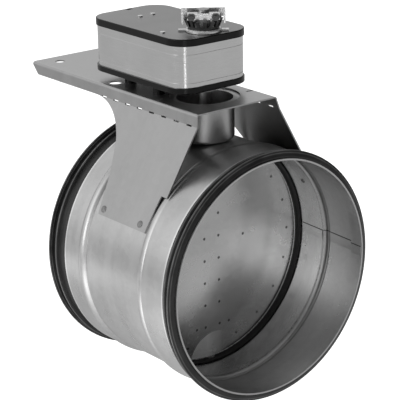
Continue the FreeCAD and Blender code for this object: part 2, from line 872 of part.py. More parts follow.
def make_base():
    """Bottom plate of the actuator with four bosses for the circuit board."""
    base = keep(body("actuator_base"))
    sketch = sketch_on(base, "XY_Plane", base_low)
    draw(sketch, housing_outline(as_size(0)))
    draw_circle(sketch, 0, 0, dim.hub_radius + dim.hub_wall)
    for x, y in post_spots():
        draw_circle(sketch, x, y, dim.screw_radius)
    pad(base, sketch, dim.base_thickness)
    bosses = sketch_on(base, "XY_Plane", base_top)
    for hand in (-1, 1):
        for spot in (dim.board_front + 5, dim.board_rear - 2.8):
            draw_circle(bosses, (dim.board_half - 9) * hand, spot, 2.6)
    pad(base, bosses, dim.board_level)


def make_sleeve():
    """Side wall of the actuator with two shallow lines around it and the cable opening."""
    sleeve = keep(body("housing_sleeve"))
    sketch = sketch_on(sleeve, "XY_Plane", base_top)
    draw(sketch, housing_outline(as_size(0)))
    draw(sketch, housing_outline(-dim.housing_wall))
    pad(sleeve, sketch, sleeve_top - base_top)
    for place_up in (dim.lower_groove, dim.upper_groove):
        groove = sketch_on(sleeve, "XY_Plane", base_low + place_up + dim.groove_width / 2)
        draw(groove, housing_outline(as_size(1)))
        draw(groove, housing_outline(-dim.groove_depth))
        pocket(sleeve, groove, dim.groove_width)
    gland = sketch_on(sleeve, "XZ_Plane", -dim.housing_rear - 1)
    draw_circle(gland, 0, base_low + dim.gland_level, dim.gland_radius)
    pocket(sleeve, gland, dim.housing_wall * 3, downwards=False)


def make_trims():
    """Black bands around the bottom and the top of the actuator."""
    for label, low, high in (
            ("lower_trim", base_low, base_low + dim.lower_trim),
            ("upper_trim", housing_top - dim.upper_trim, housing_top)):
        trim = keep(body(label))
        sketch = sketch_on(trim, "XY_Plane", low)
        draw(sketch, housing_outline(dim.trim_thickness))
        draw(sketch, housing_outline(as_size(0)))
        pad(trim, sketch, high - low)
        widest = (dim.housing_half + dim.trim_thickness - 0.05).value
        rim = high if label == "upper_trim" else low
        outer = (dim.housing_front + dim.trim_thickness).value
        round_edges(
            trim, dim.trim_round,
            lambda edge: level(edge, rim) and on_outline(edge, widest, outer))


def on_outline(edge, widest, front):
    """Whether an edge belongs to the outer loop of a trim band."""
    far = (dim.housing_rear + dim.trim_thickness).value
    reach = (dim.housing_half - dim.housing_round).value
    middle = edge.valueAt((edge.FirstParameter + edge.LastParameter) / 2)
    if abs(middle.x) > widest or abs(middle.y + front) < 0.05 or abs(middle.y - far) < 0.05:
        return True
    radius = (dim.housing_round + dim.trim_thickness).value
    centre_y = (dim.housing_round - dim.housing_front).value
    if middle.y > centre_y:
        centre_y = (dim.housing_rear - dim.housing_round).value
    span = math.hypot(abs(middle.x) - reach, middle.y - centre_y)
    return abs(span - radius) < 0.05


def cover_screw_spots():
    front = (dim.front_cover_screw_x, dim.front_cover_screw_y)
    rear = (dim.rear_cover_screw_x, dim.rear_cover_screw_y)
    return [(x * hand, y) for hand in (-1, 1) for x, y in (front, rear)]


def make_cover():
    """Top cover with an opening for the hub, a notch at the rear and four screws."""
    cover = keep(body("top_cover"))
    sketch = sketch_on(cover, "XY_Plane", sleeve_top)
    draw(sketch, housing_outline(as_size(0)))
    draw_circle(sketch, 0, 0, dim.hub_radius + dim.hub_wall)
    for x, y in cover_screw_spots():
        draw_circle(sketch, x, y, dim.cover_screw_hole)
    pad(cover, sketch, dim.cover_thickness)
    notch = sketch_on(cover, "XY_Plane", housing_top)
    x, far = dim.notch_place, dim.housing_rear + 1
    near = dim.housing_rear - dim.notch_depth
    draw(notch, [
        (x - dim.notch_width / 2, near), (x + dim.notch_width / 2, near),
        (x + dim.notch_width / 2, far), (x - dim.notch_width / 2, far)])
    pocket(cover, notch, dim.cover_thickness * 0.6)
    low, reach = sleeve_top - dim.cover_screw_reach, dim.cover_screw_reach
    for number, (x, y) in enumerate(cover_screw_spots(), 1):
        shank = cylinder(
            f"cover_shank_{number}", dim.cover_screw_hole, dim.cover_thickness + reach, x, y, low)
        head = cylinder(
            f"cover_head_{number}", dim.cover_screw_head, dim.cover_screw_height, x, y, housing_top)
        keep(fuse(f"cover_screw_{number}", shank, head))


def make_hub_bushes():
    """Bushes of the output hub in the base and in the top cover."""
    bore = dim.hub_radius + dim.running_gap
    for label, low, high in (
            ("hub_bush_lower", base_low, base_top), ("hub_bush_upper", sleeve_top, housing_top)):
        outer = cylinder(label + "_blank", dim.hub_radius + dim.hub_wall, high - low, z=low)
        inner = cylinder(label + "_bore", bore, high - low, z=low)
        keep(cut(label, outer, inner))


def make_hub():
    """Hollow output hub that the damper's shaft passes through, and its collar."""
    low = base_low - dim.hub_foot
    outer = cylinder("hub_blank", dim.hub_radius, crown_low - low, z=low)
    inner = cylinder("hub_bore", dim.shaft_radius, crown_low - low, z=low)
    keep(cut("output_hub", outer, inner))
    collar = keep(body("hub_collar"))
    foot = housing_top + dim.collar_gap
    sketch = sketch_on(collar, "XZ_Plane")
    draw(sketch, [
        (dim.hub_radius, foot), (dim.collar_radius, foot),
        (dim.collar_radius, crown_low - dim.collar_chamfer),
        (dim.collar_radius - dim.collar_chamfer, crown_low), (dim.hub_radius, crown_low)])
    revolve(collar, sketch)
    ears = sketch_on(collar, "XY_Plane", foot)
    near, far, wide = dim.hub_radius + dim.collar_chamfer, dim.ear_reach, dim.ear_width / 2
    for hand in (-1, 1):
        draw(ears, [
            (near * hand, -wide), (far * hand, -wide), (far * hand, wide), (near * hand, wide)])
    pad(collar, ears, dim.ear_thickness)
    place(collar, turn=dim.clamp_turn)


def make_crown():
    """Ring of outward-leaning teeth around the clamp."""
    crown = keep(body("clamp_crown"))
    sketch = sketch_on(crown, "XZ_Plane")
    floor_top = crown_low + dim.crown_floor
    draw(sketch, [
        (dim.shaft_radius, crown_low), (dim.crown_foot, crown_low), (dim.crown_top, crown_high),
        (dim.crown_top - dim.crown_wall, crown_high),
        (dim.crown_foot - dim.crown_wall, floor_top), (dim.shaft_radius, floor_top)])
    revolve(crown, sketch)
    gap = sketch_on(crown, "XY_Plane", crown_high + 0.5)
    half = dim.crown_gap / 2
    draw(gap, [
        (dim.crown_foot - dim.crown_wall - 1, -half), (dim.crown_top + 2, -half),
        (dim.crown_top + 2, half), (dim.crown_foot - dim.crown_wall - 1, half)])
    slot = pocket(crown, gap, dim.crown_height - dim.crown_floor - 0.5)
    polar(crown, slot, gap, dim.crown_teeth)


def make_yoke():
    """Bent strap of the clamp: a back plate against the shaft and two legs."""
    yoke = keep(body("clamp_yoke"))
    low = crown_high + dim.yoke_gap
    near, far = dim.shaft_radius, dim.shaft_radius + dim.yoke_metal
    leg = dim.yoke_half - dim.yoke_metal
    front = far - dim.yoke_depth
    sketch = sketch_on(yoke, "XY_Plane", low)
    draw(sketch, [
        (-dim.yoke_half, front), (-leg, front), (-leg, near), (leg, near),
        (leg, front), (dim.yoke_half, front), (dim.yoke_half, far), (-dim.yoke_half, far)])
    pad(yoke, sketch, dim.yoke_height)
    legs = sketch_on(yoke, "XY_Plane", low)
    for hand in (-1, 1):
        outside = dim.yoke_half * hand
        draw(legs, [
            (leg * hand, front), (outside, front), (outside, far), (leg * hand, far)])
    pad(yoke, legs, dim.yoke_drop, upwards=False)
    holes = sketch_on(yoke, "XZ_Plane", -far - 1)
    for hand in (-1, 1):
        draw_circle(holes, dim.stud_spread * hand, stud_level(), dim.stud_radius)
    pocket(yoke, holes, dim.yoke_metal + 2, downwards=False)
    place(yoke, turn=dim.clamp_turn)


def stud_level():
    return crown_high + dim.yoke_gap + dim.jaw_height / 2


def make_jaw():
    """Clamping jaw with a V notch against the shaft."""
    jaw = keep(body("clamp_jaw"))
    apex = dim.shaft_radius * math.sqrt(2)
    open_half = apex - dim.jaw_front
    sketch = sketch_on(jaw, "XY_Plane", crown_high + dim.yoke_gap)
    draw(sketch, [
        (-dim.jaw_half, -dim.jaw_back), (dim.jaw_half, -dim.jaw_back),
        (dim.jaw_half, -dim.jaw_front), (open_half, -dim.jaw_front), (0, -apex),
        (-open_half, -dim.jaw_front), (-dim.jaw_half, -dim.jaw_front)])
    pad(jaw, sketch, dim.jaw_height)
    holes = sketch_on(jaw, "XZ_Plane")
    for hand in (-1, 1):
        draw_circle(holes, dim.stud_spread * hand, stud_level(), dim.stud_radius)
    pocket(jaw, holes, downwards=False)
    place(jaw, turn=dim.clamp_turn)


def make_studs():
    """Two studs through yoke and jaw, each with a hexagon nut."""
    far = dim.shaft_radius + dim.yoke_metal
    for number, hand in enumerate((-1, 1), 1):
        stud = keep(body(f"clamp_stud_{number}"))
        sketch = sketch_on(stud, "XZ_Plane", -far)
        draw_circle(sketch, dim.stud_spread * hand, stud_level(), dim.stud_radius)
        pad(stud, sketch, far + dim.stud_tip)
        head = sketch_on(stud, "XZ_Plane", -far)
        draw_circle(head, dim.stud_spread * hand, stud_level(), dim.stud_radius * 1.6)
        pad(stud, head, 2, upwards=False)
        place(stud, turn=dim.clamp_turn)
        nut = keep(body(f"clamp_nut_{number}"))
        sketch = sketch_on(nut, "XZ_Plane", dim.jaw_back)
        centre = dim.stud_spread * hand
        draw(sketch, [
            (centre + dim.nut_side * cosine(60 * k), stud_level() + dim.nut_side * sine(60 * k))
            for k in range(6)])
        draw_circle(sketch, centre, stud_level(), dim.stud_radius)
        pad(nut, sketch, dim.nut_height)
        place(nut, turn=dim.clamp_turn)


def tooth_gap(module, teeth, angle):
    """Outline of the space between two involute teeth, centred on an angle in degrees."""
    count = teeth.value
    base = count / 2 * math.cos(math.radians(20))
    inv_pitch = math.tan(math.radians(20)) - math.radians(20)
    side = []
    for reach in (count / 2 - 1.15, max(base, count / 2 - 0.9), count / 2 + 0.25, count / 2 + 0.9):
        slope = math.acos(min(base / reach, 1.0))
        widen = math.tan(slope) - slope - inv_pitch
        half = 90 / count + math.degrees(widen + dim.tooth_play.value / (2 * module.value * reach))
        side.append((reach, half))
    side.append((count / 2 + 1.6, half))
    left = [(module * r * cosine(angle + h), module * r * sine(angle + h)) for r, h in side]
    right = [(module * r * cosine(angle - h), module * r * sine(angle - h)) for r, h in side]
    return right + left[::-1]


def cut_teeth(thing, module, teeth, low, width, angle, cuts=None):
    """Cuts evenly spaced tooth gaps into a disc that stands on a level."""
    gap = sketch_on(thing, "XY_Plane", low)
    draw(gap, tooth_gap(module, teeth, angle))
    first = pocket(thing, gap, width, downwards=False)
    if cuts is None:
        polar(thing, first, gap, teeth)
    else:
        polar(thing, first, gap, cuts, 360.0 / teeth.value * (cuts.value - 1))


def tip_radius(module, teeth):
    return module * (teeth / 2 + 0.85)


def make_sector():
    """Toothed sector on the hub; a tooth points at the first gear's axle."""
    sector = keep(body("output_sector"))
    low = base_top + dim.sector_level
    outer = tip_radius(dim.sector_module, dim.sector_teeth)
    pitch = 360.0 / dim.sector_teeth.value
    first_gap = 90 + pitch * 1.5 - pitch * (dim.sector_cuts.value - 1)
    start, stop = first_gap - pitch * 0.5, 90 + pitch * 2
    sketch = sketch_on(sector, "XY_Plane", low)
    draw(sketch, [
        (dim.hub_radius * cosine(start), dim.hub_radius * sine(start)),
        (outer * cosine(start), outer * sine(start), outer),
        (outer * cosine(stop), outer * sine(stop)),
        (dim.hub_radius * cosine(stop), dim.hub_radius * sine(stop), -dim.hub_radius)])
    pad(sector, sketch, dim.gear_width)
    cut_teeth(
        sector, dim.sector_module, dim.sector_teeth, low, dim.gear_width, first_gap,
        dim.sector_cuts)


def make_gear(label, centre, wheels, hub, bore, low, high):
    """A gear with one or two toothed rims on a common hub."""
    gear = keep(body(label))
    stem = sketch_on(gear, "XY_Plane", low)
    draw_circle(stem, 0, 0, hub)
    pad(gear, stem, high - low)
    for module, teeth, foot, width, angle in wheels:
        rim = sketch_on(gear, "XY_Plane", foot)
        draw_circle(rim, 0, 0, tip_radius(module, teeth))
        pad(gear, rim, width)
        cut_teeth(gear, module, teeth, foot, width, angle)
    hole = sketch_on(gear, "XY_Plane", low)
    draw_circle(hole, 0, 0, bore)
    pocket(gear, hole, downwards=False)
    place(gear, y=centre)


def make_gears():
    """Two compound gears between the output sector and the motor's pinion."""
    low, high = base_top + dim.end_play, deck_low - dim.end_play
    wide = dim.gear_width + dim.pinion_extra
    bore = dim.axle_radius + dim.running_gap
    sector_low = base_top + dim.sector_level - dim.pinion_extra / 2
    first_low = base_top + dim.first_level
    second_low = base_top + dim.second_level
    first_turn = 90 + 180 / dim.first_wheel_teeth.value
    second_turn = 90 + 180 / dim.second_wheel_teeth.value
    pinion_low = second_low - dim.pinion_extra / 2
    make_gear("first_gear", first_centre, [
        (dim.sector_module, dim.first_pinion_teeth, sector_low, wide, 270),
        (dim.first_module, dim.first_wheel_teeth, first_low, dim.gear_width, first_turn),
    ], dim.first_hub, bore, low, high)
    make_gear("second_gear", second_centre, [
        (dim.first_module, dim.second_pinion_teeth, first_low - dim.pinion_extra / 2, wide, 270),
        (dim.second_module, dim.second_wheel_teeth, second_low, dim.gear_width, second_turn),
    ], dim.second_hub, bore, low, high)
    make_gear("motor_pinion", motor_centre, [
        (dim.second_module, dim.motor_pinion_teeth, pinion_low, wide, 270),
    ], dim.motor_hub, dim.motor_axle_radius, pinion_low, high)
    for label, centre in (("first_axle", first_centre), ("second_axle", second_centre)):
        keep(cylinder(label, dim.axle_radius, deck_low - base_top, y=centre, z=base_top))


def make_motor():
    """Deck on four pillars over the gears, with the motor on top of it."""
    deck = keep(body("gear_deck"))
    sketch = sketch_on(deck, "XY_Plane", deck_low)
    draw(sketch, rounded(dim.deck_half, dim.deck_front, dim.deck_rear, as_size(4)))
    draw_circle(sketch, 0, motor_centre, dim.motor_axle_radius + 1.5)
    pad(deck, sketch, dim.deck_thickness)
    pillars = sketch_on(deck, "XY_Plane", deck_low)
    for hand in (-1, 1):
        for spot in (dim.deck_front + dim.pillar_inset, dim.deck_rear - dim.pillar_inset):
            draw_circle(pillars, (dim.deck_half - dim.pillar_inset) * hand, spot, dim.pillar_radius)
    pad(deck, pillars, deck_low - base_top, upwards=False)
    can = keep(body("motor_can"))
    bore = dim.motor_axle_radius + dim.running_gap
    inside = dim.motor_radius - dim.motor_wall
    low, high = deck_top, deck_top + dim.motor_height
    sketch = sketch_on(can, "XZ_Plane")
    draw(sketch, [
        (bore, low), (dim.motor_radius, low), (dim.motor_radius, high - dim.motor_chamfer),
        (dim.motor_radius - dim.motor_chamfer, high), (0, high),
        (0, high - dim.motor_wall), (inside, high - dim.motor_wall),
        (inside, low + dim.motor_wall), (bore, low + dim.motor_wall)])
    revolve(can, sketch)
    place(can, y=motor_centre)
    axle_low = base_top + dim.second_level - dim.pinion_extra / 2
    axle_high = high - dim.motor_wall - dim.end_play
    axle_length = axle_high - axle_low
    keep(cylinder("motor_axle", dim.motor_axle_radius, axle_length, y=motor_centre, z=axle_low))
    rotor_low = low + dim.motor_wall + dim.rotor_gap
    length = high - dim.motor_wall - dim.rotor_gap - rotor_low
    blank = cylinder("rotor_blank", dim.rotor_radius, length, y=motor_centre, z=rotor_low)
    hole = cylinder("rotor_hole", dim.motor_axle_radius, length, y=motor_centre, z=rotor_low)
    keep(cut("motor_rotor", blank, hole))


def make_electrics():
    """Circuit board with its terminal block, and the cable gland in the rear wall."""
    low = base_top + dim.board_level
    keep(box(
        "circuit_board", -dim.board_half + 4, dim.board_front, low,
        dim.board_half * 2 - 8, dim.board_rear - dim.board_front, dim.board_thickness))
    keep(box(
        "terminal_block", -dim.terminal_length / 2, dim.board_rear - dim.terminal_inset,
        low + dim.board_thickness, dim.terminal_length, dim.terminal_width, dim.terminal_height))
    gland = keep(body("cable_gland"))
    up = base_low + dim.gland_level
    flange = sketch_on(gland, "XZ_Plane", -dim.housing_rear)
    draw_circle(flange, 0, up, dim.gland_flange)
    draw_circle(flange, 0, up, dim.gland_bore)
    pad(gland, flange, dim.gland_length, upwards=False)
    neck = sketch_on(gland, "XZ_Plane", -dim.housing_rear)
    draw_circle(neck, 0, up, dim.gland_radius)
    draw_circle(neck, 0, up, dim.gland_bore)
    pad(gland, neck, dim.housing_wall + 3)


def make_all():
    make_duct()
    make_end_seal("front_seal", dim.front_seat, -1)
    make_end_seal("rear_seal", dim.rear_seat, 1)
    make_neck()
    make_console()
    make_rivets()
    make_bushes()
    make_shaft()
    make_blade()
    make_posts()
    make_base()
    make_sleeve()
    make_trims()
    make_cover()
    make_hub_bushes()
    make_hub()
    make_crown()
    make_yoke()
    make_jaw()
    make_studs()
    make_sector()
    make_gears()
    make_motor()
    make_electrics()


def write_all():
    """Checks every object, then writes each piece to its own file."""
    doc.recompute()
    wrong = [t.Name for t in doc.Objects if "Invalid" in t.State or "Error" in t.State]
    for piece in pieces:
        shape = piece.Shape
        if shape.isNull() or not shape.isValid() or len(shape.Solids) != 1:
            wrong.append(piece.Label)
    if wrong:
        raise RuntimeError("not sound: " + ", ".join(wrong))
    os.makedirs("parts", exist_ok=True)
    for piece in pieces:
        piece.Shape.exportStep(f"parts/{piece.Label}.step")
        print(piece.Label, round(piece.Shape.Volume, 1))


make_all()
write_all()
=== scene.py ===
"""Looks of the motorised shut-off damper: finishes, thin details, camera, floor and light."""

import math

import bmesh
import bpy
from mathutils import Matrix, Vector


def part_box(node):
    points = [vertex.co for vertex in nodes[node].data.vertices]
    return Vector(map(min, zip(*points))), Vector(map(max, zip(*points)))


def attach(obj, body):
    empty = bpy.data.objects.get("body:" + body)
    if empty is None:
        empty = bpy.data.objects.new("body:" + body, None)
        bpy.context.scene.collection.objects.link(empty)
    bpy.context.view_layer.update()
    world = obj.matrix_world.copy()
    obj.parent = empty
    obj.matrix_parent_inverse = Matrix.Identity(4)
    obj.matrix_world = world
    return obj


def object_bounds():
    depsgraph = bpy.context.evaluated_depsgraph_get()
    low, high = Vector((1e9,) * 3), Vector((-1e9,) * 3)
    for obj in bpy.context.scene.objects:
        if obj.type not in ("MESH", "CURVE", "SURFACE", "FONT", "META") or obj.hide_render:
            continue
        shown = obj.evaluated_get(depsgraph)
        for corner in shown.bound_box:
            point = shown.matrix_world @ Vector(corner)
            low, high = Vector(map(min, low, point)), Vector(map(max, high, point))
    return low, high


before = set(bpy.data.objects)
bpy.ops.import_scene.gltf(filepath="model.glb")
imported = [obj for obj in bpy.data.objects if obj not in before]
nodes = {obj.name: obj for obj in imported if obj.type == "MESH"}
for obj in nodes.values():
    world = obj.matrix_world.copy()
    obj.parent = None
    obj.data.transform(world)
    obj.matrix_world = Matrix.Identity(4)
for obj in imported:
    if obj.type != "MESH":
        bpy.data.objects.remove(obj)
cad_box = [list(corner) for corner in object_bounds()]

# Camera, fitted to the photograph: metres, degrees and millimetres of lens
AIM = Vector((0.00512, 0.01711, 0.04926))
DISTANCE = 1.8088
AZIMUTH = -38.14
ELEVATION = 18.64
ROLL = -1.03
LENS = 158.5
SENSOR = 36.0
VIEW_END = 50

# Room light: an even part, and soft lobes given by direction, sharpness and gain
AMBIENT = 0.02
LOBES = [
    ((-1.0, 0.0, 0.05), 40, 3.1),
    ((-1.0, 0.2, 0.6), 10, 1.2),
    ((-0.75, -0.65, 0.15), 30, 0.9),
    ((0.2, 0.75, 0.5), 6, 0.8),
    ((-0.6, 0.75, 0.2), 8, 0.65),
    ((0.6, 0.75, 0.3), 20, 0.25),
    ((0.9, 0.3, 0.3), 8, 0.2),
    ((-0.6, -0.75, 0.4), 10, 0.2),
    ((0, 0, 1), 5, 0.47),
]

# Glow of the floor: all over, in patches by place, size and gain, and as the camera sees it
FLOOR_GLOW = 0.34
PATCHES = [
    ((-0.3, -0.05), 0.12, 1.7),
    ((-0.3, 0.35), 0.15, 0.5),
    ((-0.51, -0.64), 0.05, 3.0),
    ((-0.65, -0.81), 0.06, 5.0),
    ((-0.87, -1.09), 0.08, 5.0),
]
FLOOR_SEEN = 1.2

# The floor itself: half its width, its gap below the damper, and its paper
FLOOR_HALF = 12.0
FLOOR_DROP = 0.0005
FLOOR_CLOUD_SCALE = 3.0
FLOOR_TONES = (0.3, 0.32)
FLOOR_ROUGHNESS = 0.9

# Tones of the finishes, 0 black to 1 white
TUBE_TONE = 0.65
# Bore tone: paler than the outside, as painted light inside the bore
BORE_PAINTED_LIGHT_TONE = 0.8
# Shoulder tone: a painted highlight on each spigot's step
SHOULDER_PAINTED_HIGHLIGHT = 0.98
# Groove tone: painted shade in the beads' hollows inside the tube
GROOVE_PAINTED_SHADE = 0.5
CUP_TONE = 0.62
FLAT_TONE = 0.5
CLINCH_TONE = FLAT_TONE * 0.7
BLADE_TONE = 0.62
PRESSED_TONE = BLADE_TONE * 0.3
# Foot tone: a painted reflection on the blade's foot
FOOT_PAINTED_REFLECTION_TONE = 0.95
SLEEVE_TONE = 0.73
COVER_TONE = 0.37
SEAL_TONE = 0.026
LIP_TONE = 0.01

# Roughness of the zinc sheets and of the rubber
TUBE_ROUGHNESS = 0.32
BORE_ROUGHNESS = 0.24
BLADE_ROUGHNESS = 0.24
CUP_ROUGHNESS = 0.34
FLAT_ROUGHNESS = 0.36
CLINCH_ROUGHNESS = 0.6
RUBBER_ROUGHNESS = 0.42

# Zinc: how fine its crystals, streaks, clouds and waves are, and how much they change it
SPANGLE_SCALE = 180.0
STREAK_SCALE = 5.0
CLOUD_SCALE = 14.0
WAVE_SCALE = 9.0
SPANGLE_TONE = 0.5
SPANGLE_GLOSS = 0.012
STREAK_GLOSS = 0.04
CLOUD_GLOSS = 0.05
STREAK_HEIGHT = 0.02
WAVE_DEPTH = 0.0012
WAVE_STRENGTH = 0.5

# Rubber: how fine its bloom and its grain are, and how much they change it
BLOOM_SCALE = 24.0
BLOOM_STRETCH = (1, 9, 1)
BLOOM_TONES = (0.2, 2.0)
BLOOM_GLOSS = 0.08
RUBBER_GRAIN_SCALE = 900.0
RUBBER_GRAIN_DEPTH = 0.0002
RUBBER_GRAIN_STRENGTH = 0.4

# Plastic: how fine its clouds and its grain are, and how much they change it
SHADE_SCALE = 30.0
SHADE_TONES = (0.85, 1.15)
SHADE_GLOSS = 0.05
PLASTIC_GRAIN_SCALE = 1400.0
PLASTIC_GRAIN_DEPTH = 0.0001
PLASTIC_GRAIN_STRENGTH = 0.5

# Brushed metal: how fine its lines and its haze are, and how much they change it
BRUSH_SCALE = 60.0
BRUSH_TONE = 0.06
BRUSH_GLOSS = 0.06
BRUSH_DEPTH = 0.00015
BRUSH_STRENGTH = 0.4
HAZE_SCALE = 25.0
HAZE_TONE = 0.04

# Outer radius of the duct's metal and the level of the lowest point, read from the solids
duct_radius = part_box("duct_body")[1].x
floor_level = cad_box[0][2]

# Lap seam inside the tube, metres
SEAM_START = (-0.012, 0.0062)  # along the tube and up
SEAM_END = (-0.1025, 0.0034)
SEAM_LAP = 0.010  # width of the lap
SEAM_STEP = 0.0004  # how far its upper edge stands out
SEAM_FEATHER = 0.00003  # how far its lower edge stands out
SEAM_SHADE_LINE = 0.0009  # width of the dark strip of painted shade above it
SEAM_SKIN = 0.0001  # how far the line stands out, and how deep both sit in the wall
SEAM_STATIONS = 91

# Radii where a painted highlight makes the seals' crests grey, and how much paler they are there
OUTER_CREST = (0.1272, 0.1281)
RIB_RISE = (0.1252, 0.1258)
RIB_FALL = (0.1262, 0.1266)
CREST_HIGHLIGHT_GAIN = 4.0

# Turned-up edge of the blade's sheet: its radius, its inset from the sheet's rim, and its facets
EDGE_RADIUS = 0.0005
EDGE_INSET = 0.0006
EDGE_STEPS = 180
EDGE_SIDES = 8

# Places along the tube from the shaft, metres; a pair is where a fade starts and ends
MIDDLE_END = (0.043, 0.046)
BEAD_PLACE = 0.0475
BEAD_FADE = (0.0035, 0.0055)  # from the bead's own place
SHOULDER_FRONT = 0.0858
SHOULDER_REAR = 0.076
SHOULDER_WIDTH = 0.0015
SPIGOT_RISE = (0.1237, 0.1239)  # radii

# The blade: painted highlights by middle, size and gain, how deep a darker pressed mark begins,
# and the painted reflection on its foot
BLADE_PAINTED_HIGHLIGHTS = [((0.055, -0.003, -0.008), 0.03, 0.5), ((-0.005, -0.003, -0.045), 0.035, 0.3)]
PRESSED_DEPTH = (0.0031, 0.0033)
FOOT_MIDDLE = (0.005, 0, -0.123)
FOOT_REACH = (0.0325, 0.034)
FOOT_FADE = (-0.004, 0.022)


def add_camera():
    """A long lens at the photograph's angle, with its slight roll."""
    azimuth, elevation = math.radians(AZIMUTH), math.radians(ELEVATION)
    back = Vector((
        math.sin(azimuth) * math.cos(elevation),
        -math.cos(azimuth) * math.cos(elevation),
        math.sin(elevation),
    ))
    camera = bpy.data.objects.new("camera", bpy.data.cameras.new("camera"))
    bpy.context.scene.collection.objects.link(camera)
    roll = Matrix.Rotation(math.radians(ROLL), 3, "Z")
    turn = back.to_track_quat("Z", "Y").to_matrix() @ roll
    camera.matrix_world = Matrix.Translation(AIM + back * DISTANCE) @ turn.to_4x4()
    camera.data.lens = LENS
    camera.data.sensor_width = SENSOR
    camera.data.clip_end = VIEW_END
    bpy.context.scene.camera = camera


def socket_of(made, name):
    """A node's input by its name, or by its place where the name is i0, i1 or i2."""
    number = name[1:]
    return made.inputs[int(number) if name[0] == "i" and number.isdigit() else name]


def node(tree, kind, settings=(), **inputs):
    """Adds a shader node; an input is a number, a colour or another node's output."""
    made = tree.nodes.new(kind)
    for name, value in dict(settings).items():
        setattr(made, name, value)
    for name, value in inputs.items():
        socket = socket_of(made, name)
        if isinstance(value, bpy.types.NodeSocket):
            tree.links.new(value, socket)
        else:
            socket.default_value = value
    return made


def calculate(tree, operation, first, second=0.0, third=0.0):
    """One step of arithmetic."""
    settings = {"operation": operation}
    return node(tree, "ShaderNodeMath", settings, i0=first, i1=second, i2=third).outputs[0]


def vector_math(tree, operation, first, second, output="Vector"):
    """One step of vector arithmetic, which gives a vector or a plain value."""
    settings = {"operation": operation}
    return node(tree, "ShaderNodeVectorMath", settings, i0=first, i1=second).outputs[output]


def coordinate(tree, place, axis):
    """X, Y or Z of a place."""
    return node(tree, "ShaderNodeSeparateXYZ", Vector=place).outputs[axis]


def noise(tree, vector, scale, detail=3.0, roughness=0.55, stretch=(1, 1, 1)):
    """Soft noise, finer along the axes with a larger stretch."""
    mapped = node(tree, "ShaderNodeMapping", Vector=vector, Scale=stretch).outputs[0]
    made = node(
        tree, "ShaderNodeTexNoise", Vector=mapped, Scale=scale, Detail=detail, Roughness=roughness)
    return made.outputs[0]


def between(tree, value, low, high, start=0.3, stop=0.7):
    """Spreads a value over a range; noise lies mostly from 0.3 to 0.7."""
    made = node(tree, "ShaderNodeMapRange", Value=value)
    ends = (("From Min", start), ("From Max", stop), ("To Min", low), ("To Max", high))
    for name, number in ends:
        made.inputs[name].default_value = number
    return made.outputs[0]


def swing(tree, value, size, start=0.3, stop=0.7):
    """Spreads a value evenly about 0."""
    return between(tree, value, -size, size, start, stop)


def blend(tree, mask, first, second):
    """The first value where the mask is 0, the second where it is 1."""
    rest = calculate(tree, "MULTIPLY", calculate(tree, "SUBTRACT", 1.0, mask), first)
    return calculate(tree, "MULTIPLY_ADD", mask, second, rest)


def grey(tree, value):
    """A value as a colour without hue."""
    made = node(tree, "ShaderNodeCombineColor")
    for name in ("Red", "Green", "Blue"):
        tree.links.new(value, made.inputs[name])
    return made.outputs[0]


def start_material(name):
    """A new material with its nodes, its shader and the place in the piece's own axes."""
    material = bpy.data.materials.new(name)
    material.use_nodes = True
    tree = material.node_tree
    shader = tree.nodes["Principled BSDF"]
    place = tree.nodes.new("ShaderNodeTexCoord").outputs["Object"]
    return material, tree, shader, place


def bump(tree, shader, height, distance, strength):
    """Fine relief of a finish."""
    made = node(tree, "ShaderNodeBump", Height=height, Distance=distance, Strength=strength)
    tree.links.new(made.outputs[0], shader.inputs["Normal"])


def around_duct(tree, place):
    """Coordinates on a rolled tube: along its girth and along its length."""
    parts = node(tree, "ShaderNodeSeparateXYZ", Vector=place).outputs
    angle = calculate(tree, "ARCTAN2", parts["X"], parts["Z"])
    girth = calculate(tree, "MULTIPLY", angle, duct_radius)
    return node(tree, "ShaderNodeCombineXYZ", X=girth, Y=parts["Y"]).outputs[0]


def from_axis(tree, place):
    """Distance from the duct's axis."""
    flat = vector_math(tree, "MULTIPLY", place, (1, 0, 1))
    return vector_math(tree, "DISTANCE", flat, (0, 0, 0), "Value")


def soft_spot(tree, place, middle, size):
    """1 at a middle point, fading out over about twice the size."""
    apart = vector_math(tree, "DISTANCE", place, middle, "Value")
    spread = calculate(tree, "POWER", calculate(tree, "DIVIDE", apart, size), 2.0)
    return calculate(tree, "EXPONENT", calculate(tree, "MULTIPLY", spread, -1.0))


def value_of(setting, tree, place):
    """A setting is a number, or a function that works it out from the place."""
    return setting(tree, place) if callable(setting) else setting


